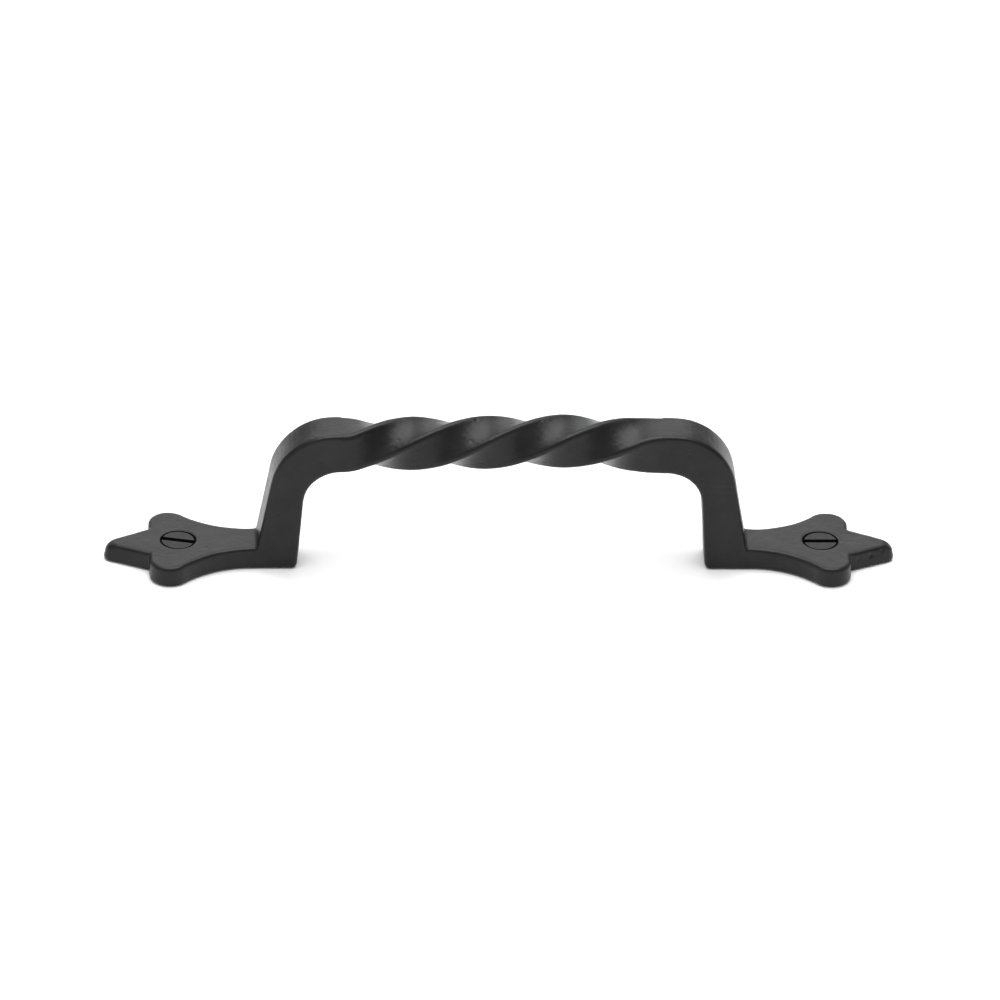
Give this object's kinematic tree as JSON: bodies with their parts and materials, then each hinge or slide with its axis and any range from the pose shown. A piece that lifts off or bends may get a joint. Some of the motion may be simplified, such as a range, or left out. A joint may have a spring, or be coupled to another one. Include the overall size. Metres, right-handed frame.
{
  "type": "pull handle",
  "caption": "Rustic twisted square-bar pull handle with fleur-shaped feet, each fixed by a slotted countersunk wood screw.",
  "frame": {"origin": "midway between the two fixing screws, on the back face of the feet, where the handle meets the door", "axes": "+X along the handle from the left foot to the right foot, +Z away from the door towards the grip, +Y across the bar"},
  "size_m": [0.1844, 0.0268, 0.0581],
  "materials": {
    "black_iron": "satin black over cast iron",
    "black_screw": "satin black steel"
  },
  "bodies": {
    "handle": {"handle_casting": "black_iron"},
    "left_fixing": {"left_screw": "black_screw"},
    "right_fixing": {"right_screw": "black_screw"}
  },
  "joints": [
    {"name": "left_screw_turn", "type": "hinge", "parent": "handle", "child": "left_fixing", "pos_m": [-0.075, 0, 0], "axis": [0, 0, 1], "continuous": true},
    {"name": "right_screw_turn", "type": "hinge", "parent": "handle", "child": "right_fixing", "pos_m": [0.075, 0, 0], "axis": [0, 0, 1], "continuous": true}
  ]
}
